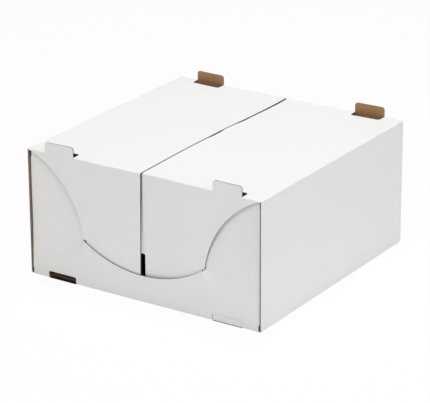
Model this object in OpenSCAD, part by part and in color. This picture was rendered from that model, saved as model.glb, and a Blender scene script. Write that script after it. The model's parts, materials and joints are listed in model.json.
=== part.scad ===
// Folded cake box of corrugated board, whose two lid halves meet over its middle.
// The carton is everything but the left lid half, which opens first.
// Millimetres, +Z up, front towards -Y. The origin is the middle of the underside.

/* [Box] */
// Outside width, from side wall to side wall
body_w = 312; // [280:1:400]
// Outside depth, along the side walls' cut edges
body_d = 312; // [280:1:400]
// Outside height, without the stacking tabs
body_h = 153; // [135:1:220]

/* [Board] */
// Thickness of the corrugated board
board_t = 1.5; // [1:0.1:2]
// Clearance between two layers of board that slide past each other
layer_gap = 0.3; // [0.2:0.05:0.5]
// Outside radius of a fold
fold_r = 1.5; // [1:0.1:3]
// How far the front wall stands behind the side walls' cut edges
wall_setback = 0.4; // [0.2:0.1:1]

/* [Front and back walls] */
// Half the width between the two cusps, where scoop and corner pieces meet
cusp_x = 81.5; // [60:0.5:95]
// Height of the cusps
cusp_z = 56.8; // [45:0.1:70]
// How far the scoop dips below its cusps
scoop_drop = 25.2; // [10:0.1:32]
// Radius of the rounded corner pieces
corner_r = 120; // [108:1:140]
// Cut clearance between a corner piece and the lid's shoulder
shoulder_gap = 0.4; // [0.3:0.05:1]
// Width of the corner piece that lies hidden behind the lid's shoulder
hidden_lap = 9; // [4:0.5:15]
// Height below which the front wall is flat
bend_start = 52; // [38:1:55]
// Height above which the corner pieces stand behind the lid's flaps
bend_end = 78; // [70:1:132]
// Number of flat strips in that bend
bend_steps = 12; // [6:1:20]

/* [Stacking tabs and slots] */
// Distance from the middle to the near side of a tab
tab_x = 92.9; // [85:0.1:100]
// Width of a tab
tab_w = 38.4; // [25:0.1:45]
// Height of a tab above the lid
tab_h = 11.8; // [8:0.1:18]
// Corner radius of a tab and of the hole that it leaves
tab_r = 3.5; // [1:0.1:5]
// Height of a stacking slot in the wall
slot_h = 8.4; // [6:0.1:12]
// Depth of a stacking slot in the base
slot_d = 7; // [5:0.1:12]
// Corner radius of a stacking slot
slot_r = 2; // [0.5:0.1:3]
// Width of the cut around the waste piece that was left in one slot
waste_cut = 0.5; // [0.3:0.05:1]
// Width of each nick that still holds the waste piece
nick_w = 3; // [1:0.1:5]

/* [Lid halves] */
// Where the left half's edge lies, from the middle
left_edge = 2.5; // [1:0.1:4]
// How much further from the middle the left flaps' edge lies at their lower end
edge_taper = 2.1; // [0:0.1:4]
// Gap between the two top panels
top_gap = 1.6; // [1:0.1:4]
// How far the right half's flaps reach behind the left half's flaps
flap_lap = 3.5; // [2.5:0.1:6]
// How far the margin of a right flap is bent back behind the left flap
margin_dip = 1.2; // [0.3:0.1:3]
// Width over which that margin bends back
margin_bend = 4; // [2:0.1:6]
// Where the inner side of the notch under that margin lies, from the middle
notch_x = 1.5; // [0.5:0.1:6]
// Height of that notch's top
notch_z = 57; // [55:0.5:70]
// Height of the lower edge of the lid's tongues
tongue_z = 15; // [12:0.5:24]
// Corner radius of the lid's tongues
tongue_r = 14; // [5:0.5:16]
// How much the tongue is narrower than the space between the cusps, on one side
tongue_inset = 3; // [2:0.1:8]
// Corner radius of the notch and of the edge's lower end
notch_r = 2; // [1:0.1:3]

/* [Corner glue flaps] */
// Reach of a glue flap along the side wall
glue_reach = 38; // [20:1:60]
// Height of a glue flap's lower edge at the corner
glue_low = 8; // [4:1:20]
// Slant of a glue flap's ends
glue_slant = 9; // [4:1:20]

/* [Hidden] */
$fn = 96;
eps = 0.01;
far = 2 * (body_w + body_d);

// Depth of each layer behind the side walls' cut edges, outermost first
layer_step = board_t + layer_gap;
left_depth = wall_setback + layer_step;
right_depth = left_depth + layer_step;
left_corner_depth = left_depth + layer_step;
right_corner_depth = right_depth + layer_step;

// Scoop: one circle through both cusps
scoop_r = (cusp_x * cusp_x + scoop_drop * scoop_drop) / (2 * scoop_drop);
scoop_z = cusp_z - scoop_drop + scoop_r;

// Corner pieces: one circle through the cusp and the box's top corner
chord = [body_w / 2 - cusp_x, body_h - cusp_z];
half_chord = norm(chord) / 2;
sagitta_leg = sqrt(corner_r * corner_r - half_chord * half_chord);
corner_x = (cusp_x + body_w / 2) / 2 + chord[1] / norm(chord) * sagitta_leg;
corner_z = (cusp_z + body_h) / 2 - chord[0] / norm(chord) * sagitta_leg;

wall_top = body_h - board_t - layer_gap;
inner_w = body_w / 2 - board_t;
right_top_edge = top_gap - left_edge;
right_flap_edge = -left_edge - flap_lap;

// Draws its children on the front, and again on the back as a mirror image
module front_and_back() {
    children();
    mirror([0, 1, 0]) children();
}

// A flat shape drawn in X and Z, standing at a depth behind the front plane and board_t thick
module upright(depth, thick = board_t) {
    translate([0, -body_d / 2 + depth + thick, 0])
        rotate([90, 0, 0]) linear_extrude(thick) children();
}

// A profile drawn in Y (from the front plane) and Z, run along X from x0 to x1
module along_x(x0, x1) {
    translate([x0, -body_d / 2, 0])
        rotate([90, 0, 90]) linear_extrude(x1 - x0) children();
}

// A rectangle with its corners rounded
module rounded_rect(x0, z0, x1, z1, r) {
    translate([x0 + r, z0]) square([x1 - x0 - 2 * r, z1 - z0]);
    translate([x0, z0 + r]) square([x1 - x0, z1 - z0 - 2 * r]);
    for (x = [x0 + r, x1 - r], z = [z0 + r, z1 - r]) translate([x, z]) circle(r);
}

// The disc whose rim is the upper edge of the right-hand corner piece
module corner_disc(extra = 0) {
    translate([corner_x, corner_z]) circle(corner_r + extra, $fn = 180);
}

// Share of the whole shift that the bent wall has made at a share u of its rise
function s_bend(u) = (1 - cos(180 * u)) / 2;

// Side view of the front wall on one side of the middle: flat, then an S-bend, then flat again
module wall_profile(top_depth) {
    shift = top_depth - wall_setback;
    rise = bend_end - bend_start;
    front = [for (i = [0 : bend_steps])
        [wall_setback + shift * s_bend(i / bend_steps), bend_start + rise * i / bend_steps]];
    back = [for (i = [bend_steps : -1 : 0]) front[i] + [board_t, 0]];
    polygon(concat([[wall_setback, fold_r]], front, [[top_depth, wall_top], [top_depth + board_t, wall_top]],
        back, [[wall_setback + board_t, fold_r]]));
}

// Front view of the right half of the front wall
module wall_outline() {
    difference() {
        translate([-eps, 0]) square([inner_w + eps, wall_top]);
        translate([0, scoop_z]) circle(scoop_r, $fn = 360);
        translate([0, scoop_z]) square([scoop_r, far]);
    }
    intersection() {
        translate([cusp_x, cusp_z - board_t]) square([inner_w - cusp_x, wall_top - cusp_z + board_t]);
        corner_disc(-shoulder_gap);
    }
    intersection() {
        translate([cusp_x, bend_end]) square([inner_w - cusp_x, wall_top - bend_end]);
        corner_disc(hidden_lap);
    }
}

// Right half of the front wall, bent back so that the lid's shoulder lies over its corner piece
module half_wall(top_depth) {
    intersection() {
        upright(0, top_depth + 2 * board_t) wall_outline();
        along_x(-eps, inner_w + eps) wall_profile(top_depth);
    }
}

// Glue flap that runs back from the front wall's edge, on the right side wall's inner face
module glue_flap(top_depth) {
    low = wall_setback + board_t / 2;
    high = top_depth + board_t / 2;
    translate([inner_w - board_t, -body_d / 2, 0]) rotate([90, 0, 90]) linear_extrude(board_t)
        polygon([
            [low, glue_low], [glue_reach, glue_low + glue_slant],
            [glue_reach, wall_top - glue_low - glue_slant], [high, wall_top - glue_low],
            [high, bend_end], [low, bend_start]
        ]);
}

// Stacking slot across the fold of base and front wall, on the right
module stacking_slot() {
    along_slot = [tab_x, tab_x + tab_w];
    upright(-board_t, wall_setback + 3 * board_t)
        rounded_rect(along_slot[0], -slot_h, along_slot[1], slot_h, slot_r);
    translate([0, -body_d / 2, -board_t]) linear_extrude(3 * board_t)
        rounded_rect(along_slot[0], -slot_d, along_slot[1], wall_setback + slot_d, slot_r);
}

// The piece of board that was never pushed out of one slot, held by two nicks
module slot_waste() {
    x0 = tab_x + waste_cut;
    x1 = tab_x + tab_w - waste_cut;
    upright(wall_setback / 2) rounded_rect(x0, 0, x1, slot_h - waste_cut, slot_r);
    upright(wall_setback / 2) for (x = [x0 + slot_r + nick_w, x1 - slot_r - 2 * nick_w])
        translate([x, slot_h - 2 * waste_cut]) square([nick_w, 3 * waste_cut]);
    translate([0, -body_d / 2, 0]) linear_extrude(board_t)
        rounded_rect(x0, wall_setback / 2, x1, wall_setback + slot_d - waste_cut, slot_r);
    translate([0, -body_d / 2 + wall_setback + slot_d - 2 * waste_cut, 0]) linear_extrude(board_t)
        for (x = [x0 + slot_r + nick_w, x1 - slot_r - 2 * nick_w])
            translate([x, 0]) square([nick_w, 3 * waste_cut]);
}

// Section across the box: base with its two rounded lower edges
module base_section(half_w) {
    translate([-half_w + fold_r, 0]) square([2 * (half_w - fold_r), board_t]);
    for (s = [-1, 1]) translate([s * (half_w - fold_r), fold_r]) intersection() {
        circle(fold_r);
        translate([-fold_r, -fold_r]) square([2 * fold_r, fold_r]);
    }
}

// Extrudes a section drawn in X and Z along the box's depth
module along_depth(length) {
    translate([0, length / 2, 0]) rotate([90, 0, 0]) linear_extrude(length) children();
}

// Base, folded up along all four edges
module base() {
    intersection() {
        along_depth(body_d - 2 * wall_setback) base_section(body_w / 2);
        rotate([0, 0, 90]) along_depth(body_w) base_section(body_d / 2 - wall_setback);
    }
}

// Right side wall up to a given height, whose raw cut edges show at the box's corners
module side_wall(top) {
    along_depth(body_d) {
        translate([inner_w, fold_r]) square([board_t, top - fold_r]);
        translate([body_w / 2 - fold_r, fold_r]) intersection() {
            circle(fold_r);
            translate([fold_r - board_t, -fold_r]) square([board_t, 2 * fold_r]);
        }
    }
}

// Front wall with its glue flaps, or the back wall when mirrored
module end_wall() {
    mirror([1, 0, 0]) half_wall(left_corner_depth);
    half_wall(right_corner_depth);
    mirror([1, 0, 0]) glue_flap(left_corner_depth);
    glue_flap(right_corner_depth);
}

// Tray: base, four walls and glue flaps. The left wall ends below the lid half that opens,
// and the right one runs on into the lid's fold.
module tray() {
    difference() {
        union() {
            base();
            mirror([1, 0, 0]) side_wall(wall_top);
            side_wall(body_h - board_t);
            front_and_back() end_wall();
        }
        front_and_back() for (side = [0, 1]) mirror([side, 0, 0]) stacking_slot();
    }
    slot_waste();
}

// Front view of a lid half's flap, drawn on the right: the corner piece's circle cuts its shoulder.
// Its free edge runs from x1 at the fold to x1 + taper at its lower end.
module flap_outline(x1, taper) {
    difference() {
        translate([0, tongue_z]) square([body_w / 2, body_h - tongue_z - fold_r]);
        corner_disc();
        translate([cusp_x - tongue_inset, -eps]) square([far, cusp_z + eps]);
        translate([inner_w - layer_gap, -eps]) square([far, wall_top + layer_gap + eps]);
        translate([cusp_x - tongue_inset - tongue_r, tongue_z - eps]) difference() {
            square([far, tongue_r + eps]);
            translate([0, tongue_r + eps]) circle(tongue_r);
        }
        polygon([[-far, -eps], [x1 + taper, -eps], [x1 + taper, tongue_z], [x1, body_h], [-far, body_h]]);
    }
}

// Front view of the right flap: its margin ends below the left half's panel, and a notch is cut under it
module right_flap_outline() {
    difference() {
        union() {
            flap_outline(0, 0);
            translate([right_top_edge, tongue_z])
                square([eps - right_top_edge, body_h - tongue_z - fold_r]);
            translate([right_flap_edge, tongue_z])
                square([right_top_edge - right_flap_edge + eps, wall_top - tongue_z]);
        }
        rounded_rect(right_flap_edge - 2 * notch_r, -notch_z, notch_x, notch_z, notch_r);
    }
}

// Section of the right flap seen from above, from its front face back: flat, then bent back at its margin
module right_flap_section() {
    front = [for (i = [0 : bend_steps])
        [notch_x - margin_bend * i / bend_steps, margin_dip * s_bend(i / bend_steps)]];
    back = [for (i = [bend_steps : -1 : 0]) front[i] + [0, board_t]];
    edge = right_flap_edge - eps;
    polygon(concat([[body_w / 2, 0]], front, [[edge, margin_dip], [edge, margin_dip + board_t]],
        back, [[body_w / 2, board_t]]));
}

// Tab that stands up in the flap's plane, drawn from below the lid's fold
module tab_outline() {
    difference() {
        rounded_rect(tab_x, body_h - 3 * tab_r - board_t, tab_x + tab_w, body_h + tab_h, tab_r);
        translate([0, -far + body_h - board_t - fold_r]) square([far, far]);
    }
}

// Section of the top panel with the upper part of both flaps, run along X
module panel_profile(depth) {
    translate([depth + fold_r, body_h - board_t]) square([body_d - 2 * (depth + fold_r), board_t]);
    for (end = [0, 1]) translate([end * body_d, 0]) mirror([end, 0])
        intersection() {
            translate([depth, body_h - fold_r]) square([fold_r, fold_r]);
            translate([depth + fold_r, body_h - fold_r]) circle(fold_r);
        }
}

// Round end of the top panel along the hinge fold, as a front view of the right half
module hinge_end_outline(x1) {
    translate([x1, body_h - fold_r - board_t]) square([body_w / 2 - fold_r - x1, far]);
    translate([x1, body_h - fold_r - board_t]) square([body_w / 2 - x1, board_t]);
    translate([body_w / 2 - fold_r, body_h - fold_r]) circle(fold_r);
}

// One lid half without its flaps, drawn on the right: top panel with its two tab holes, and two tabs
module lid_panel(depth, top_x) {
    difference() {
        intersection() {
            along_x(top_x, body_w / 2) panel_profile(depth);
            upright(0, body_d) hinge_end_outline(top_x);
        }
        front_and_back() translate([0, -body_d / 2 + depth, body_h - 2 * board_t - fold_r])
            linear_extrude(4 * board_t + fold_r)
                rounded_rect(tab_x, -tab_h, tab_x + tab_w, tab_h + board_t / 2, tab_r);
    }
    front_and_back() upright(depth) tab_outline();
}

// Left lid half: its flaps lie in front of the right half's flaps
module left_lid() {
    color("#e6e6e4") mirror([1, 0, 0]) {
        lid_panel(left_depth, left_edge);
        front_and_back() upright(left_depth) flap_outline(left_edge, edge_taper);
    }
}

// Right lid half: the margins of its flaps are bent back behind the left flaps
module right_lid() {
    lid_panel(right_depth, right_top_edge);
    front_and_back() intersection() {
        upright(right_depth, margin_dip + board_t) right_flap_outline();
        translate([0, -body_d / 2 + right_depth, 0])
            linear_extrude(body_h) right_flap_section();
    }
}

// Carton: tray and right lid half, one folded board
module carton() {
    color("#dcdbd8") {
        tray();
        right_lid();
    }
}

carton();
left_lid();
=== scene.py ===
"""Looks of the folded cake box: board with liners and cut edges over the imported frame, studio light and camera."""
import json
import math

import bpy
import numpy as np
from mathutils import Matrix, Vector
from mathutils.geometry import delaunay_2d_cdt

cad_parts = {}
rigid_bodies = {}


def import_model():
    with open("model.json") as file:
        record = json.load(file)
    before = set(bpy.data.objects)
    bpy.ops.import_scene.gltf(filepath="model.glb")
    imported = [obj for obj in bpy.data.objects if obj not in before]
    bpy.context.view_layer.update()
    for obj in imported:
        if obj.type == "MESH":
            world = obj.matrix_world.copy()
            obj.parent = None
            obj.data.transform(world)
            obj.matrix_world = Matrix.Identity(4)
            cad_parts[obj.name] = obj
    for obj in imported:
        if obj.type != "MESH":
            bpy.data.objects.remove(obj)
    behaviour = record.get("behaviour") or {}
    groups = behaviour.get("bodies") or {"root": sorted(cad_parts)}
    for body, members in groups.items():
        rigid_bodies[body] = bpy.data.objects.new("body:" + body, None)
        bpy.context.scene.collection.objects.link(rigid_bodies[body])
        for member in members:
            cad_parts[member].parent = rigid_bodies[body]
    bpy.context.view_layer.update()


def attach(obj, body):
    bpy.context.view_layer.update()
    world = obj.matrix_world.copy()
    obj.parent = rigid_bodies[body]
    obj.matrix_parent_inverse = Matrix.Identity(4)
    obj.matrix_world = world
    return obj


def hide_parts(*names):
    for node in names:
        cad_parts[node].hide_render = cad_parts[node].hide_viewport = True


# Sizes in millimetres, the same as the frame's
HALF_W = 156.0
HALF_D = 156.0
HEIGHT = 153.0
BOARD = 1.5
GAP = 0.3
SETBACK = 0.4
FOLD = 1.7  # outside radius of the folds, a little more than the board so that the inner face stays open
FOLD_STEPS = 6
HINGE_ROUND = 1.0
CUSP = (81.5, 56.8)
SCOOP_DROP = 25.2
CORNER_R = 120.0
HIDDEN_LAP = 9.0
RECESS = 6.0  # depth of the side walls' margin that shows beside the front and back walls
LAP_START = 60.0  # height above which the corner pieces reach behind the lid's shoulders
ARC_GAP = 0.4  # between the corner pieces' edges and the flaps' ones, below LAP_START
CUSP_REST = 0.5  # height above the cusps at which the corner pieces' edges end
BEND_AT_CUSP = (55.8, 59.0)  # heights between which the end walls bend back, at their cusps and at their sides
BEND_AT_SIDE = (0.0, 60.0)
PUSH_BACK = 2.6  # how much further back the corner pieces' free edges are pushed towards the top
PUSH_HEIGHTS = (58.0, 105.0)
TAB = (92.9, 131.3)
TAB_H = 11.8
TAB_SHIFT = {(-1, -1): 0.8, (1, -1): 0.0, (-1, 1): -0.6, (1, 1): 0.0}  # how far out each sits, by hand and side
TAB_HOLE_SPARE = 0.6
TAB_R = 3.5
SLOT_H = 8.4
SLOT_D = 7.0
SLOT_R = 2.0
WASTE_CUT = 0.6  # width of the cut beside the waste piece on its left, and of the ones on its other sides
NICK_CUT = 0.1
WASTE_PUSH = 0.1
LEFT_EDGE = 2.5  # distance of the left half's free edge from the middle, and how much more it is at the foot
EDGE_TAPER = 2.1
RIGHT_TOP_EDGE = -0.9
FLAP_LAP = 3.5
NOTCH_EDGE = 1.5
NOTCH_Z = 57.0
NOTCH_R = 2.0
TONGUE_Z = 15.0
TONGUE_R = 14.0
TONGUE_INSET = 3.0
TUCK_START, TUCK_LEAN, TUCK_RUN = 1.2, 1.4, 4.5  # dip of the right flaps' margin: where it starts and how wide it is
TUCK_LOW, TUCK_RISE = 0.5, 2.8  # its depth at the notch, and what the top adds
GLUE_REACH = 38.0
GLUE_LOW = 8.0
GLUE_SLANT = 9.0
GLUE_GAP = 0.05

LEFT_DEPTH = SETBACK + BOARD + GAP
RIGHT_DEPTH = LEFT_DEPTH + BOARD + GAP
OUTER_DEPTH = 0.3  # depth of the flaps at the side walls
LEVEL_RUN = (8.0, CUSP[0] - 6)  # distances from the middle between which the right flaps reach the left ones' depth
FORWARD_FROM = CUSP[0] - 2  # where the flaps start to come forward
INNER_W = HALF_W - BOARD
ARC = FOLD * math.pi / 2
INNER_FOLD = FOLD - BOARD
FLUTE = 3.3  # pitch of the fluted sheet
CUT_SLANT = 0.11  # the flutes show a little even in a cut along them
FAR = 200.0  # past the ends of every sheet

SCOOP_R = (CUSP[0] ** 2 + SCOOP_DROP ** 2) / (2 * SCOOP_DROP)
SCOOP_Z = CUSP[1] - SCOOP_DROP + SCOOP_R
CHORD = (HALF_W - CUSP[0], HEIGHT - CUSP[1])
CHORD_LEN = math.hypot(*CHORD)
LEG = math.sqrt(CORNER_R ** 2 - (CHORD_LEN / 2) ** 2)
CORNER_X = (CUSP[0] + HALF_W) / 2 + CHORD[1] / CHORD_LEN * LEG
CORNER_Z = (CUSP[1] + HEIGHT) / 2 - CHORD[0] / CHORD_LEN * LEG

# How far the hinge fold's sheet runs past the start of its rounding, up to the mitre, and the length before it over
# which the inner liner is drawn in
MITRE = HINGE_ROUND * math.pi / 4
DRAWN_IN = 2.0

# Warp of the lid, by place along the depth: how far the panels rise and how far the right one's edge draws back
LIFT = [(-154, 0), (-125, 0.5), (-95, 1.2), (-50, 1.7), (0, 1.5), (30, 1.3), (55, 0.3), (90, -0.3), (125, -0.4),
        (154, 0)]
SLACK = [(-156, 0), (-140, 0.2), (-60, 0.1), (-22, 0.3), (-13, 1.4), (7, 1.3), (15, 0), (25, -0.1), (34, 0.2),
         (43, 0.9), (58, 1.3), (71, 0.8), (80, 1.0), (98, 1.1), (108, 1.6), (117, 1.2), (126, 1.5), (148, 1.3),
         (154, 0)]
WARP_REACH = 150.0


def warp(table, x, y):
    """A lid panel's warp at a place, strongest beside the middle seam and none at the side folds."""
    ys, values = zip(*table)
    return float(np.interp(y, ys, values)) * max(1 - abs(x) / WARP_REACH, 0) ** 2


# Flat outlines

def arc_points(centre, radius, start, end, count):
    """Points on an arc, both ends included, angles in degrees."""
    angles = np.radians(np.linspace(start, end, count + 1))
    return [(centre[0] + radius * math.cos(t), centre[1] + radius * math.sin(t)) for t in angles]


def rounded(x0, y0, x1, y1, radii):
    """A rectangle with its corner radii given from the lower left one, anticlockwise."""
    corners = [((x0, y0), (1, 1), 180), ((x1, y0), (-1, 1), 270),
               ((x1, y1), (-1, -1), 0), ((x0, y1), (1, -1), 90)]
    points = []
    for (corner, inward, start), r in zip(corners, radii):
        if r == 0:
            points.append(corner)
        else:
            centre = (corner[0] + inward[0] * r, corner[1] + inward[1] * r)
            points += arc_points(centre, r, start, start + 90, 8)
    return points


def corner_arc(radius, z_from, z_to, count=32):
    """Left side of the corner piece's circle, from one height to another."""
    start = 180 - math.degrees(math.asin((z_from - CORNER_Z) / radius))
    end = 180 - math.degrees(math.asin((z_to - CORNER_Z) / radius))
    return arc_points((CORNER_X, CORNER_Z), radius, start, end, count)


def scoop_arc(count=48):
    """The scoop from the right cusp down to its lowest point."""
    start = -90 + math.degrees(math.asin(CUSP[0] / SCOOP_R))
    return arc_points((0, SCOOP_Z), SCOOP_R, start, -90, count)


def densified(outline, step=6.0):
    """The outline with its long straight runs divided, so that neighbouring sheets share their points."""
    points = []
    for p, q in zip(outline, outline[1:] + outline[:1]):
        count = max(1, math.ceil(math.hypot(q[0] - p[0], q[1] - p[1]) / step))
        points += [(p[0] + (q[0] - p[0]) * i / count, p[1] + (q[1] - p[1]) * i / count) for i in range(count)]
    return points


def inside(point, polygon):
    """Whether a point lies inside a polygon."""
    x, y = point
    found = False
    for (x0, y0), (x1, y1) in zip(polygon, polygon[1:] + polygon[:1]):
        if (y0 > y) != (y1 > y) and x < x0 + (y - y0) / (y1 - y0) * (x1 - x0):
            found = not found
    return found


class Board:
    """Folded board of one body: each sheet point has a place on the white liner and one on the kraft liner."""

    WELD = 2  # decimals to which places agree where sheets join
    WELD_SHIFT = 0.0037  # keeps round numbers away from the rounding's steps

    def __init__(self):
        self.places = []
        self.known = {}
        self.triangles = []

    def point(self, a, b, place):
        """Number of a sheet point, shared by all sheets that have it in the same place."""
        outer, inner = place(a, b)
        key = tuple(round(c + self.WELD_SHIFT, self.WELD) for c in (*outer, *inner))
        if key not in self.known:
            self.known[key] = len(self.places)
            self.places.append((outer, inner))
        return self.known[key]

    def sheet(self, outline, place, holes=(), creases=()):
        """Adds a flat sheet with holes, folded by place. Creases are segments along which it may bend."""
        loops = [densified(outline)] + [densified(hole) for hole in holes]
        verts, edges = [], []
        for loop in loops:
            first = len(verts)
            verts += [Vector(p) for p in loop]
            edges += [(first + i, first + (i + 1) % len(loop)) for i in range(len(loop))]
        for p, q in creases:
            edges.append((len(verts), len(verts) + 1))
            verts += [Vector(p), Vector(q)]
        flat, _, faces, _, _, _ = delaunay_2d_cdt(verts, edges, [], 0, 1e-5)
        for face in faces:
            middle = sum((flat[i] for i in face), Vector((0, 0))) / 3
            if not inside(middle, loops[0]) or any(inside(middle, hole) for hole in loops[1:]):
                continue
            corners = [self.point(*flat[i], place) for i in face]
            if len(set(corners)) < 3:
                continue
            flutes = [tuple(flat[i]) for i in face]
            p, q, r = (Vector(self.places[i][0]) for i in corners)
            out = sum((Vector(self.places[i][0]) - Vector(self.places[i][1]) for i in corners), Vector())
            if (q - p).cross(r - p).dot(out) < 0:
                corners.reverse()
                flutes.reverse()
            self.triangles.append((corners, flutes))

    def in_recess(self, n):
        """Whether a point of the side walls lies in the recess in front of or behind the end walls, where the kraft
        is painted darker as shade.
        """
        x, y, z = self.places[n][1]
        return abs(x) > INNER_W - 0.1 and abs(y) > HALF_D - RECESS - 0.1

    def build(self, name, materials):
        """The mesh object: material 0 outside, 1 inside, 2 on the cut edges, 3 inside the recesses, a darker kraft
        that paints their shade.
        """
        verts = [Vector(p) / 1000 for pair in self.places for p in pair]
        faces, slots, coords = [], [], []
        sides = {}
        for corners, flutes in self.triangles:
            i, j, k = corners
            faces += [(2 * i, 2 * j, 2 * k), (2 * k + 1, 2 * j + 1, 2 * i + 1)]
            # Kraft faces inside the recesses take the darker material: painted shade, not the board's own colour.
            slots += [0, 3 if all(self.in_recess(n) for n in corners) else 1]
            coords += [flutes, flutes[::-1]]
            for n in range(3):
                sides[(corners[n], corners[(n + 1) % 3])] = (flutes[n], flutes[(n + 1) % 3])
        for (i, j), (p, q) in sides.items():
            if (j, i) not in sides:
                faces.append((2 * j, 2 * i, 2 * i + 1, 2 * j + 1))
                slots.append(2)
                u, v = (p[1] + CUT_SLANT * p[0], q[1] + CUT_SLANT * q[0])
                coords.append(((v, 1), (u, 1), (u, 0), (v, 0)))
        mesh = bpy.data.meshes.new(name)
        mesh.from_pydata(verts, [], faces)
        mesh.polygons.foreach_set("material_index", slots)
        layer = mesh.uv_layers.new(name="board")
        layer.uv.foreach_set("vector", [c for face in coords for pair in face for c in pair])
        for material in materials:
            mesh.materials.append(material)
        mesh.shade_smooth()
        mesh.set_sharp_from_angle(angle=math.radians(40))
        mesh.validate()
        obj = bpy.data.objects.new(name, mesh)
        bpy.context.scene.collection.objects.link(obj)
        return obj


# Folded places. Each returns the point on the white liner and the one on the kraft liner.

def smooth(x, start, end):
    """Rises from 0 to 1 between two places, level at both."""
    u = min(max((x - start) / (end - start), 0), 1)
    return (1 - math.cos(math.pi * u)) / 2


def flap_depth(hand, x):
    """Depth of a lid flap's face: behind the wall between the cusps, and further forward towards the side walls."""
    x = abs(x)
    inner = LEFT_DEPTH + (RIGHT_DEPTH - LEFT_DEPTH) * (1 - smooth(x, *LEVEL_RUN)) * (hand > 0)
    return inner + (OUTER_DEPTH - LEFT_DEPTH) * smooth(x, FORWARD_FROM, HALF_W)


def wall_depth(x, z):
    """Depth of an end wall's face. Above the cusps it stands behind the flaps; the bend is short at the cusps."""
    x = abs(x)
    out = min(max((x - CUSP[0]) / (INNER_W - CUSP[0]), 0), 1)
    start, end = (at_cusp + (at_side - at_cusp) * math.sqrt(out)
                  for at_cusp, at_side in zip(BEND_AT_CUSP, BEND_AT_SIDE))
    behind = flap_depth(-1, x) + BOARD + GAP + PUSH_BACK * smooth(z, *PUSH_HEIGHTS) * (1 - out ** 6)
    return SETBACK + (behind - SETBACK) * smooth(z, start, end)


WALL_FOLD = HALF_D - SETBACK - FOLD  # half the length of the base's flat part
WALL_START = WALL_FOLD + ARC  # sheet coordinate at which an end wall is upright
GLUE_FOLD = INNER_W - GLUE_GAP - FOLD


def wall_s(z):
    """Sheet coordinate of a height on an end wall."""
    return WALL_START + z - FOLD


def tray_place(a, b):
    """Base, end walls and glue flaps. a runs along X, b from the middle to the front (negative) or back."""
    side = 1 if b > 0 else -1
    s = abs(b)
    if s <= WALL_FOLD:
        return (a, b, 0.0), (a, b, BOARD)
    if s <= WALL_START:
        t = (s - WALL_FOLD) / FOLD
        y, z = math.sin(t), FOLD * (1 - math.cos(t))
        return ((a, side * (WALL_FOLD + FOLD * y), z),
                (a, side * (WALL_FOLD + INNER_FOLD * y), FOLD - INNER_FOLD * math.cos(t)))
    z = s - WALL_START + FOLD
    front = HALF_D - wall_depth(a, z)
    hand = 1 if a > 0 else -1
    along = abs(a)
    if along <= GLUE_FOLD:
        return (a, side * front, z), (a, side * (front - BOARD), z)
    t = min((along - GLUE_FOLD) / FOLD, math.pi / 2)
    run = max(along - GLUE_FOLD - ARC, 0)
    outer = (hand * (GLUE_FOLD + FOLD * math.sin(t)), side * (front - FOLD * (1 - math.cos(t)) - run), z)
    inner = (hand * (GLUE_FOLD + INNER_FOLD * math.sin(t)),
             side * (front - FOLD + INNER_FOLD * math.cos(t) - run), z)
    return outer, inner


def side_place(hand):
    """Side wall: a runs from the base's edge up to the lid's fold, b along the depth."""
    def place(a, b):
        if a <= ARC:
            t = a / FOLD
            return ((hand * (HALF_W - FOLD + FOLD * math.sin(t)), b, FOLD * (1 - math.cos(t))),
                    (hand * (HALF_W - FOLD + INNER_FOLD * math.sin(t)), b, FOLD - INNER_FOLD * math.cos(t)))
        z = a - ARC + FOLD
        outer, inner = hinge_section(z)
        return (hand * (HALF_W - outer[1]), b, outer[0]), (hand * (HALF_W - inner[1]), b, inner[0])
    return place


def hinge_section(run):
    """Board near the hinge fold, up to the mitre plane: run is the distance from the far side of the sheet.
    Returns (distance along the sheet, drop from its outer face) of both liners, for a sheet as long as the height."""
    start = HEIGHT - HINGE_ROUND
    end = start + MITRE
    t = max(run - start, 0) / HINGE_ROUND
    outer = (min(run, start) + HINGE_ROUND * math.sin(t), HINGE_ROUND * (1 - math.cos(t)))
    drawn = start - DRAWN_IN
    along = run if run < drawn else drawn + (run - drawn) * (HEIGHT - BOARD - drawn) / (end - drawn)
    return outer, (along, BOARD)


def lid_place(hand, depth):
    """Lid half: a runs from the middle to the hinge, b along the depth and on down the flaps."""
    level = HALF_D - depth - FOLD
    shift = HALF_W - HEIGHT

    def place(a, b):
        flat = HALF_D - flap_depth(hand, a) - FOLD
        b = math.copysign(abs(b) * flat / level if abs(b) <= level else abs(b) - level + flat, b)
        side = 1 if b > 0 else -1
        s = abs(b)
        outer, inner = hinge_section(a - shift)
        xo, xi = hand * (outer[0] + shift), hand * (inner[0] + shift)
        drop = outer[1]
        if s <= flat:
            lift = warp(LIFT, a, b)
            return (xo, b, HEIGHT - drop + lift), (xi, b, HEIGHT - BOARD + lift)
        if s <= flat + ARC:
            t = (s - flat) / FOLD
            return ((xo, side * (flat + FOLD * math.sin(t)), HEIGHT - drop - FOLD * (1 - math.cos(t))),
                    (xi, side * (flat + INNER_FOLD * math.sin(t)), HEIGHT - FOLD + INNER_FOLD * math.cos(t)))
        z = HEIGHT - FOLD - (s - flat - ARC)
        dip = tucked(a, z) if hand > 0 else 0
        return (xo, side * (flat + FOLD - dip), z), (xi, side * (flat + FOLD - dip - BOARD), z)
    return place


def tucked(x, z):
    """How far the right flaps' margin dips behind the left flaps."""
    high = min(max((z - NOTCH_Z) / (HEIGHT - NOTCH_Z), 0), 1)
    u = min(max((NOTCH_EDGE + TUCK_START + TUCK_LEAN * high - x) / TUCK_RUN, 0), 1)
    return (TUCK_LOW + TUCK_RISE * high) * u * u * (3 - 2 * u)


def fold_rows(start):
    """Sheet coordinates across a quarter-round fold."""
    return [start + ARC * i / FOLD_STEPS for i in range(FOLD_STEPS + 1)]


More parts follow.
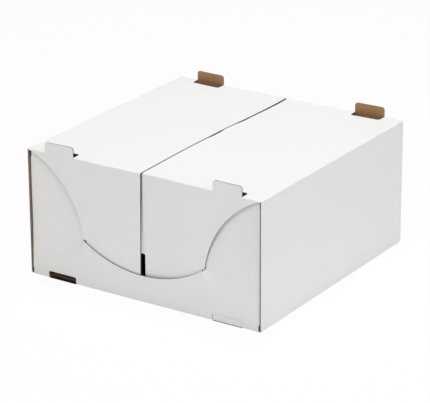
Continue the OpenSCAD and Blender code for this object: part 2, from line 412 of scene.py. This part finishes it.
def wall_creases():
    """Segments along which the front and back walls bend."""
    lines = []
    low, bend, high = range(3, 54, 4), range(54, 60), range(62, 150, 6)
    for s in fold_rows(WALL_FOLD) + [wall_s(z) for z in (*low, *bend, *high)]:
        lines += [((-FAR, s), (FAR, s)), ((-FAR, -s), (FAR, -s))]
    columns = 14
    upright = [(CUSP[0] + (GLUE_FOLD - CUSP[0]) * (i / columns) ** 2, low[0]) for i in range(columns)]
    upright += [(a, GLUE_LOW - 2) for a in fold_rows(GLUE_FOLD)]
    for a, z in upright:
        for hand in (-1, 1):
            for side in (-1, 1):
                lines.append(((hand * a, side * wall_s(z)), (hand * a, side * wall_s(HEIGHT))))
    return lines


def wall_outline():
    """Right half of the front part of the tray's sheet, from the base's middle up: scoop, corner piece, glue flap."""
    top = HEIGHT - BOARD - GAP
    flap_end = GLUE_FOLD + ARC + GLUE_REACH - FOLD
    base_edge = HALF_W - FOLD
    points = [(base_edge, 0), (base_edge, WALL_FOLD), (GLUE_FOLD, WALL_FOLD)]
    upright = [(GLUE_FOLD, GLUE_LOW), (flap_end, GLUE_LOW + GLUE_SLANT),
               (flap_end, top - GLUE_LOW - GLUE_SLANT), (GLUE_FOLD, top - GLUE_LOW), (GLUE_FOLD, top)]
    upright += corner_arc(CORNER_R + HIDDEN_LAP, top, LAP_START, 16)
    upright += corner_arc(CORNER_R - ARC_GAP, LAP_START, CUSP[1] + CUSP_REST, 8)
    upright += scoop_arc()
    return points + [(x, wall_s(z)) for x, z in upright]


def build_tray(board):
    """Base, walls and glue flaps of the carton."""
    right = wall_outline()
    wall = right + [(-x, s) for x, s in right[::-1]][1:]
    outline = tidy([(x, -s) for x, s in wall] + wall[::-1][1:-1])
    holes = []
    for side in (-1, 1):
        for hand in (-1, 1):
            xs = sorted((hand * TAB[0], hand * TAB[1]))
            ss = sorted((side * (HALF_D - SETBACK - SLOT_D), side * wall_s(SLOT_H)))
            holes.append(rounded(xs[0], ss[0], xs[1], ss[1], [SLOT_R] * 4))
    board.sheet(outline, tray_place, holes, wall_creases())
    for hand in (-1, 1):
        board.sheet(side_outline(), side_place(hand), (), side_creases())


def tidy(outline):
    """The outline without repeated points."""
    points = []
    for p in outline:
        if not points or math.hypot(p[0] - points[-1][0], p[1] - points[-1][1]) > 1e-4:
            points.append(p)
    if math.hypot(points[0][0] - points[-1][0], points[0][1] - points[-1][1]) < 1e-4:
        points.pop()
    return points


def side_outline():
    """Side wall's sheet, which starts at the base's edge and ends at the mitre of the lid's fold."""
    top = ARC + HEIGHT - HINGE_ROUND + MITRE - FOLD
    return [(0, -WALL_FOLD), (ARC, -WALL_FOLD), (ARC, -HALF_D), (top, -HALF_D),
            (top, HALF_D), (ARC, HALF_D), (ARC, WALL_FOLD), (0, WALL_FOLD), (0, 0)]


def side_creases():
    """Segments along which a side wall bends, and the bounds of its recesses."""
    start = ARC + HEIGHT - HINGE_ROUND - FOLD
    rows = fold_rows(0) + [start - DRAWN_IN, *(start + MITRE * i / 4 for i in range(5))]
    margin = HALF_D - RECESS
    return [((a, -FAR), (a, FAR)) for a in rows] + [((0, side * margin), (HEIGHT, side * margin)) for side in (-1, 1)]


def flap_points(x1, notched):
    """Outline of a flap below its fold, as (distance from middle, height), from the hinge round to the free edge."""
    top = HEIGHT - FOLD
    tongue_x = CUSP[0] - TONGUE_INSET
    points = corner_arc(CORNER_R, top, CUSP[1] + 0.01) + [(tongue_x, CUSP[1])]
    points += arc_points((tongue_x - TONGUE_R, TONGUE_Z + TONGUE_R), TONGUE_R, 0, -90, 10)
    if notched:
        points += [(NOTCH_EDGE, TONGUE_Z)]
        points += arc_points((NOTCH_EDGE - NOTCH_R, NOTCH_Z - NOTCH_R), NOTCH_R, 0, 90, 8)
        step = top - 0.4
        points += [(x1, NOTCH_Z), (x1, step), (RIGHT_TOP_EDGE, step)]
    else:
        points += [(x1 + EDGE_TAPER, TONGUE_Z), (x1, top)]
    return points


def build_lid(board, hand, depth, top_x, flap_x):
    """One lid half: top panel, two flaps and two tabs. The right flaps have a notch and a tucked margin."""
    notched = hand > 0
    flat = HALF_D - depth - FOLD
    end = HALF_W - HINGE_ROUND + MITRE
    fold_s = flat + ARC

    def s_of(z):
        return fold_s + (HEIGHT - FOLD) - z
    front = [(end, 0), (end, fold_s)] + [(x, s_of(z)) for x, z in flap_points(flap_x, notched)] + [(top_x, fold_s)]
    seam = [(top_x + (warp(SLACK, 0, y) if notched else 0), y) for y in np.linspace(-flat + 3, flat - 3, 101)]
    outline = tidy([(x, -s) for x, s in front] + seam + [(x, s) for x, s in front[::-1]])
    hole_end = HALF_D - depth - TAB_H - BOARD / 2 - TAB_HOLE_SPARE
    holes = []
    for side in (-1, 1):
        ss = (side * fold_s, side * hole_end)
        radii = [0, 0, TAB_R, TAB_R] if side < 0 else [TAB_R, TAB_R, 0, 0]
        out = TAB_SHIFT[hand, side]
        holes.append(rounded(TAB[0] + out, min(ss), TAB[1] + out, max(ss), radii))
    columns = range(9, 150, 10)
    creases = [((-10, side * s), (HALF_W + 10, side * s)) for s in fold_rows(flat) for side in (-1, 1)]
    start = HALF_W - HINGE_ROUND
    creases += [((a, -fold_s), (a, fold_s)) for a in (start - DRAWN_IN, *(start + MITRE * i / 4 for i in range(4)))]
    creases += [((x, -fold_s), (x, fold_s)) for x in columns]
    creases += [((-10, y), (90, y)) for y in range(-150, 151, 10)]
    if notched:
        margin = np.arange(-3, 3.8, 0.75)
        creases += [((x, side * fold_s), (x, side * s_of(NOTCH_Z))) for x in margin for side in (-1, 1)]
    for side in (-1, 1):
        creases += [((x, side * fold_s), (x, side * s_of(TONGUE_Z))) for x in columns]
    board.sheet(outline, lid_place(hand, depth), holes, creases)
    for side in (-1, 1):
        def tab_place(a, z, side=side):
            y = HALF_D - flap_depth(hand, a)
            return (hand * a, side * y, z), (hand * a, side * (y - BOARD), z)
        out = TAB_SHIFT[hand, side]
        low, high = HEIGHT - FOLD, HEIGHT + TAB_H
        outline = rounded(TAB[0] + out, low, TAB[1] + out, high, [0, 0, TAB_R, TAB_R])
        board.sheet(outline, tab_place, (), [((x, low), (x, high)) for x in range(99, 130, 10)])


def build_waste(board):
    """The piece of board that was never pushed out of one slot, held by nicks."""
    x0, x1 = TAB[0] + WASTE_CUT, TAB[1] - NICK_CUT
    s0, s1 = -wall_s(SLOT_H - NICK_CUT), -(HALF_D - SETBACK - SLOT_D + NICK_CUT)

    def place(a, b):
        outer, inner = tray_place(a, b)
        push = WASTE_PUSH * min(max((-b - WALL_FOLD) / ARC, 0), 1)
        return (outer[0], outer[1] - push, outer[2]), (inner[0], inner[1] - push, inner[2])
    board.sheet(rounded(x0, s0, x1, s1, [SLOT_R] * 4), place, (), wall_creases())


# Materials

def new_material(name, colour, roughness):
    """A plain matte material; returns it with its node tree and its shader."""
    material = bpy.data.materials.new(name)
    material.use_nodes = True
    shader = material.node_tree.nodes["Principled BSDF"]
    shader.inputs["Base Color"].default_value = (*colour, 1)
    shader.inputs["Roughness"].default_value = roughness
    shader.inputs["Specular IOR Level"].default_value = 0.25
    return material, material.node_tree, shader


def math_node(tree, operation, first, second=None):
    """Output of a sum on numbers or on other nodes' outputs."""
    node = tree.nodes.new("ShaderNodeMath")
    node.operation = operation
    for socket, value in zip(node.inputs, (first, second)):
        if value is None:
            continue
        if isinstance(value, (int, float)):
            socket.default_value = value
        else:
            tree.links.new(value, socket)
    return node.outputs[0]


def sheet_coordinates(tree):
    """The board's own coordinates: millimetres on the liners, on cut edges the place along and through the board."""
    coords = tree.nodes.new("ShaderNodeUVMap")
    coords.uv_map = "board"
    split = tree.nodes.new("ShaderNodeSeparateXYZ")
    tree.links.new(coords.outputs[0], split.inputs[0])
    return split.outputs


def liner(name, colour, roughness, washboard, fibres):
    """Paper liner with the flutes' faint washboard and paper fibres as bumps."""
    material, tree, shader = new_material(name, colour, roughness)
    across = sheet_coordinates(tree)[1]
    wave = math_node(tree, "SINE", math_node(tree, "MULTIPLY", across, 2 * math.pi / FLUTE))
    noise = tree.nodes.new("ShaderNodeTexNoise")
    noise.inputs["Scale"].default_value = 900
    noise.inputs["Detail"].default_value = 3
    position = tree.nodes.new("ShaderNodeTexCoord")
    tree.links.new(position.outputs["Object"], noise.inputs["Vector"])
    grain = math_node(tree, "MULTIPLY", noise.outputs["Fac"], fibres)
    height = math_node(tree, "ADD", math_node(tree, "MULTIPLY", wave, washboard), grain)
    bump = tree.nodes.new("ShaderNodeBump")
    bump.inputs["Distance"].default_value = 0.001
    tree.links.new(height, bump.inputs["Height"])
    tree.links.new(bump.outputs[0], shader.inputs["Normal"])
    return material


def cut_edge(name, paper, kraft, dark):
    """Cut edge of the board: two liners with the fluted sheet between them, and the hollows between the flutes
    painted deep brown as their shade.
    """
    material, tree, shader = new_material(name, kraft, 0.9)
    along, through = sheet_coordinates(tree)[:2]
    wave = math_node(tree, "SINE", math_node(tree, "MULTIPLY", along, 2 * math.pi / FLUTE))
    middle = math_node(tree, "ADD", math_node(tree, "MULTIPLY", wave, 0.33), 0.5)
    off = math_node(tree, "ABSOLUTE", math_node(tree, "SUBTRACT", through, middle))
    sheet = math_node(tree, "LESS_THAN", off, 0.13)
    inner = math_node(tree, "LESS_THAN", through, 0.14)
    outer = math_node(tree, "GREATER_THAN", through, 0.84)
    solid = math_node(tree, "MINIMUM", math_node(tree, "ADD", sheet, inner), 1.0)
    # Where neither the fluted sheet nor the inner liner is, the colour is the deep brown that paints the shade in the
    # flute hollows.
    first = tree.nodes.new("ShaderNodeMix")
    first.data_type = "RGBA"
    first.inputs["A"].default_value = (*dark, 1)
    first.inputs["B"].default_value = (*kraft, 1)
    tree.links.new(solid, first.inputs["Factor"])
    second = tree.nodes.new("ShaderNodeMix")
    second.data_type = "RGBA"
    second.inputs["B"].default_value = (*paper, 1)
    tree.links.new(outer, second.inputs["Factor"])
    tree.links.new(first.outputs["Result"], second.inputs["A"])
    tree.links.new(second.outputs["Result"], shader.inputs["Base Color"])
    return material


def srgb(r, g, b):
    """A colour given as 0 to 255 on screen, in linear values."""
    return tuple((c / 255 / 12.92) if c <= 10 else ((c / 255 + 0.055) / 1.055) ** 2.4 for c in (r, g, b))


# Stage, in metres

FLOOR_HALF = 6.0
FLOOR_WHITE = 0.93  # how much of the floor is plain white to the camera; the rest keeps the shadow
PATCH_LIFT = 1e-5
PATCH_SPARE = 2.0  # millimetres by which the near-black patches below the slots, a painted shadow, reach further in
WORLD_LIGHT = 0.41
LAMP_TARGET = (0, 0, 0.08)
LAMPS = [
    ("top", (0.1, 0.2, 2.2), 1.0, 21.0),
    ("front", (0.4, -1.6, 2.0), 1.0, 14.0),
    ("right", (2.2, -0.6, 1.0), 1.6, 11.5),
]

# Camera: the photograph's viewing angle, solved from the box's corners
PHOTO_W, PHOTO_H = 430, 403
AZIMUTH, ELEVATION, ROLL = 33.206, 21.060, -0.247
DISTANCE = 2.6982
FOCAL_PX = 2324.2
CENTRE_PX = (218.68, 196.30)
TARGET = (0, 0, 0.0765)
SENSOR = 36.0


def area_light(name, place, target, size, power):
    """A round lamp that faces the target."""
    data = bpy.data.lights.new(name, "AREA")
    data.shape = "DISK"
    data.size = size
    data.energy = power
    lamp = bpy.data.objects.new(name, data)
    lamp.location = place
    lamp.rotation_euler = (Vector(target) - Vector(place)).to_track_quat("-Z", "Y").to_euler()
    bpy.context.scene.collection.objects.link(lamp)


def seen(tree):
    """1 for rays that come from the camera, straight or by way of a glossy or clear surface."""
    path = tree.nodes.new("ShaderNodeLightPath")
    bounced = math_node(tree, "MAXIMUM", path.outputs["Is Glossy Ray"], path.outputs["Is Transmission Ray"])
    return math_node(tree, "MAXIMUM", path.outputs["Is Camera Ray"], bounced)


def mixed(tree, factor, first, second):
    """Mix of two shaders."""
    mix = tree.nodes.new("ShaderNodeMixShader")
    for socket, value in zip(mix.inputs, (factor, first, second)):
        tree.links.new(value, socket)
    return mix.outputs[0]


def build_floor():
    """Pale floor that shows white to the camera and keeps a soft shadow, with near-black patches below the slots that
    paint the shadow seen through them.
    """
    mesh = bpy.data.meshes.new("floor")
    f = FLOOR_HALF
    verts = [(-f, -f, 0), (f, -f, 0), (f, f, 0), (-f, f, 0)]
    # Patches under the slots; they take the near-black material, a painted shadow of the box's shaded inside.
    for x in (-TAB[0], TAB[1]):
        for y in (-HALF_D + SETBACK, HALF_D - SETBACK - SLOT_D - PATCH_SPARE):
            x0, y0 = x / 1000, y / 1000
            x1, y1 = x0 - (TAB[1] - TAB[0]) / 1000, y0 + (SLOT_D + PATCH_SPARE) / 1000
            verts += [(a, b, PATCH_LIFT) for a, b in ((x1, y0), (x0, y0), (x0, y1), (x1, y1))]
    mesh.from_pydata(verts, [], [range(i, i + 4) for i in range(0, len(verts), 4)])
    floor = bpy.data.objects.new("floor", mesh)
    bpy.context.scene.collection.objects.link(floor)
    material, tree, shader = new_material("floor_paper", (0.92, 0.92, 0.92), 0.9)
    mesh.materials.append(material)
    mesh.materials.append(new_material("floor_painted_shadow_below_slots", (0.01, 0.01, 0.01), 0.9)[0])
    mesh.polygons.foreach_set("material_index", [0, 1, 1, 1, 1])
    white = tree.nodes.new("ShaderNodeEmission")
    factor = math_node(tree, "MULTIPLY", seen(tree), FLOOR_WHITE)
    surface = mixed(tree, factor, shader.outputs[0], white.outputs[0])
    tree.links.new(surface, tree.nodes["Material Output"].inputs["Surface"])


def build_light():
    """Even studio light, and a world that shows white to the camera."""
    world = bpy.data.worlds.new("studio")
    bpy.context.scene.world = world
    world.use_nodes = True
    tree = world.node_tree
    tree.nodes.clear()
    light = tree.nodes.new("ShaderNodeBackground")
    light.inputs["Strength"].default_value = WORLD_LIGHT
    white = tree.nodes.new("ShaderNodeBackground")
    white.inputs["Color"].default_value = (1, 1, 1, 1)
    white.inputs["Strength"].default_value = 1.0
    out = tree.nodes.new("ShaderNodeOutputWorld")
    tree.links.new(mixed(tree, seen(tree), light.outputs[0], white.outputs[0]), out.inputs[0])
    for name, place, size, power in LAMPS:
        area_light(name, place, LAMP_TARGET, size, power)


def build_camera():
    """The photograph's camera."""
    a, e = math.radians(AZIMUTH), math.radians(ELEVATION)
    direction = Vector((math.sin(a) * math.cos(e), -math.cos(a) * math.cos(e), math.sin(e)))
    data = bpy.data.cameras.new("camera")
    data.sensor_width = SENSOR
    data.lens = FOCAL_PX / PHOTO_W * SENSOR
    data.shift_x = -(CENTRE_PX[0] - PHOTO_W / 2) / PHOTO_W
    data.shift_y = (CENTRE_PX[1] - PHOTO_H / 2) / PHOTO_W
    data.clip_end = 50
    camera = bpy.data.objects.new("camera", data)
    turn = (-direction).to_track_quat("-Z", "Y").to_matrix() @ Matrix.Rotation(math.radians(ROLL), 3, "Z")
    camera.matrix_world = Matrix.Translation(Vector(TARGET) + direction * DISTANCE) @ turn.to_4x4()
    bpy.context.scene.collection.objects.link(camera)
    bpy.context.scene.camera = camera


def main():
    """Builds the two boards over the frame, then the stage and the camera."""
    for obj in list(bpy.data.objects):
        bpy.data.objects.remove(obj)
    bpy.context.scene.view_settings.view_transform = "Standard"
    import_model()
    white = liner("white_liner", (0.885, 0.882, 0.872), 0.62, 0.012, 0.02)
    kraft = liner("kraft_liner", srgb(175, 136, 95), 0.85, 0.03, 0.05)
    # The last cut-edge colour is painted shade in the flutes' hollows.
    edge = cut_edge("cut_edge", srgb(196, 191, 184), srgb(148, 136, 124), srgb(94, 84, 76))
    # Darker kraft for the side walls' recesses: painted shade of the recess.
    recess_shade = liner("recess_liner_painted_shade", srgb(128, 105, 86), 0.9, 0.03, 0.05)
    materials = (white, kraft, edge, recess_shade)

    carton = Board()
    build_tray(carton)
    build_lid(carton, 1, RIGHT_DEPTH, RIGHT_TOP_EDGE, -LEFT_EDGE - FLAP_LAP)
    build_waste(carton)
    box_body = carton.build("carton_board", materials)
    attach(box_body, "carton")
    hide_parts("carton")

    lid = Board()
    build_lid(lid, -1, LEFT_DEPTH, LEFT_EDGE, LEFT_EDGE)
    lid_body = lid.build("left_lid_board", materials)
    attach(lid_body, "left_lid")
    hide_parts("left_lid")

    build_floor()
    build_light()
    build_camera()


main()
